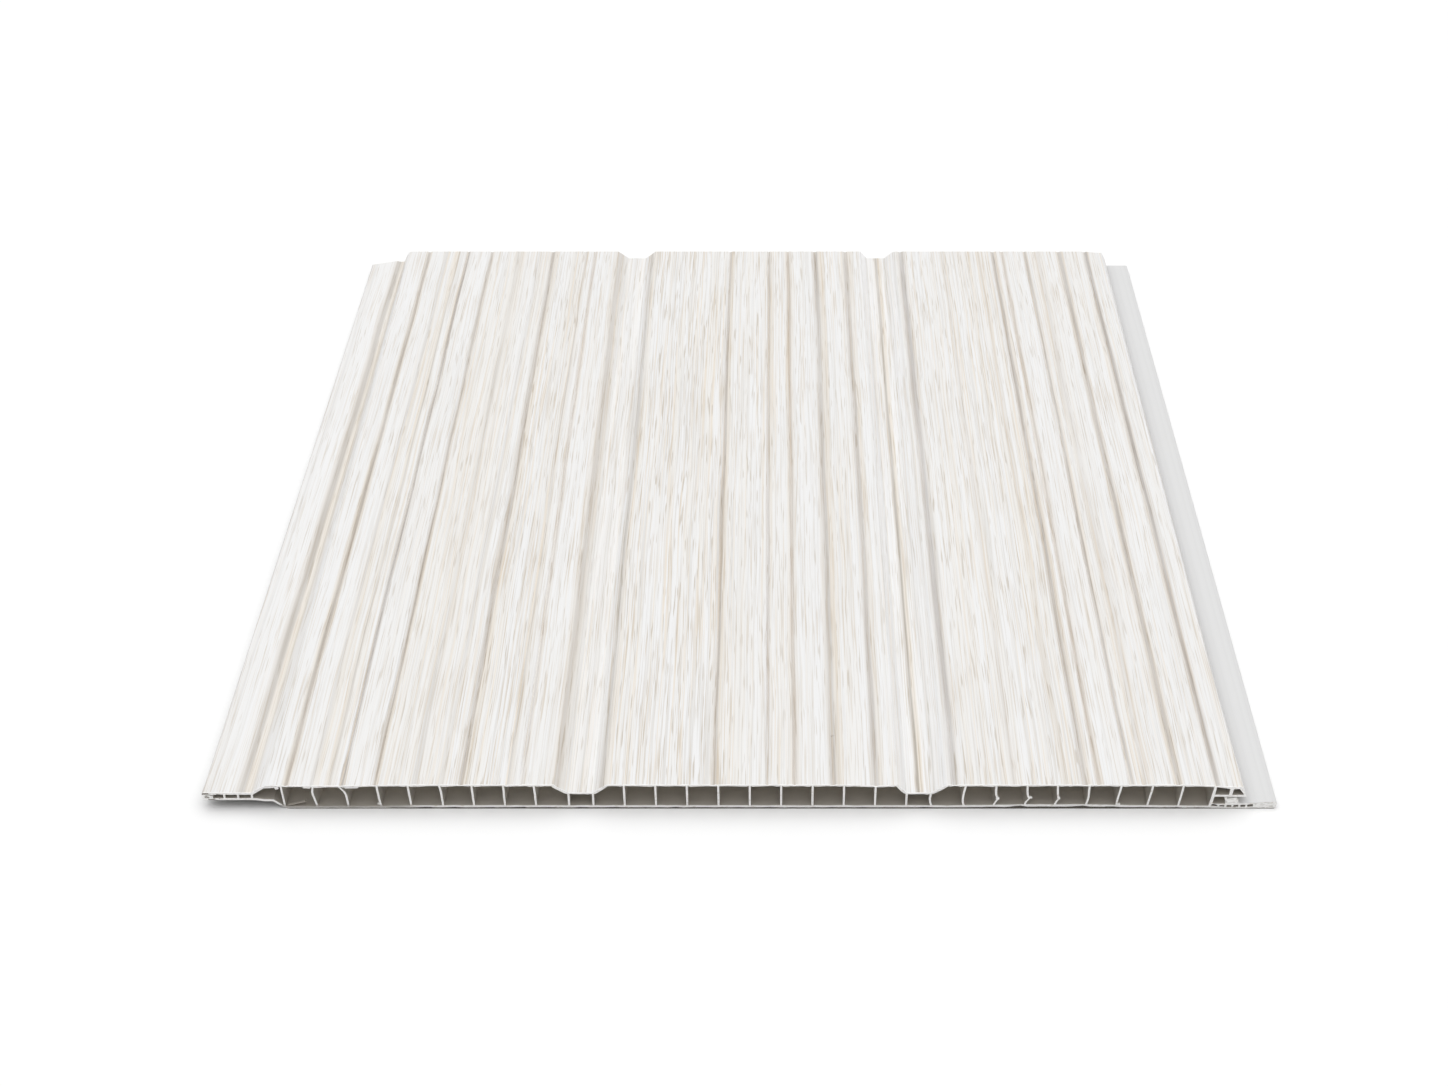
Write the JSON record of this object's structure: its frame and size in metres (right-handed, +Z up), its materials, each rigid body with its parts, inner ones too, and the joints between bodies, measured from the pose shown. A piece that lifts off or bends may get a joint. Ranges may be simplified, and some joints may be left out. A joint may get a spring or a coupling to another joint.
{
  "type": "ceiling panel",
  "caption": "Short sawn length of hollow plastic ceiling panel: scored printed face with wide grooves, open cells, and an edge lip that slides into the next panel's slot above its flange.",
  "frame": {"origin": "on the floor under the middle of the panel's box, at the flat back of the lying panel", "axes": "+Z up out of the printed face, Y along the extrusion, -X towards the lip and +X towards the flange"},
  "size_m": [0.2652, 0.265, 0.008],
  "materials": {
    "pvc": "off-white rigid PVC, the face printed with a pale streaked wood grain under satin lacquer"
  },
  "bodies": {
    "root": {"ceiling_panel": "pvc"}
  },
  "joints": []
}
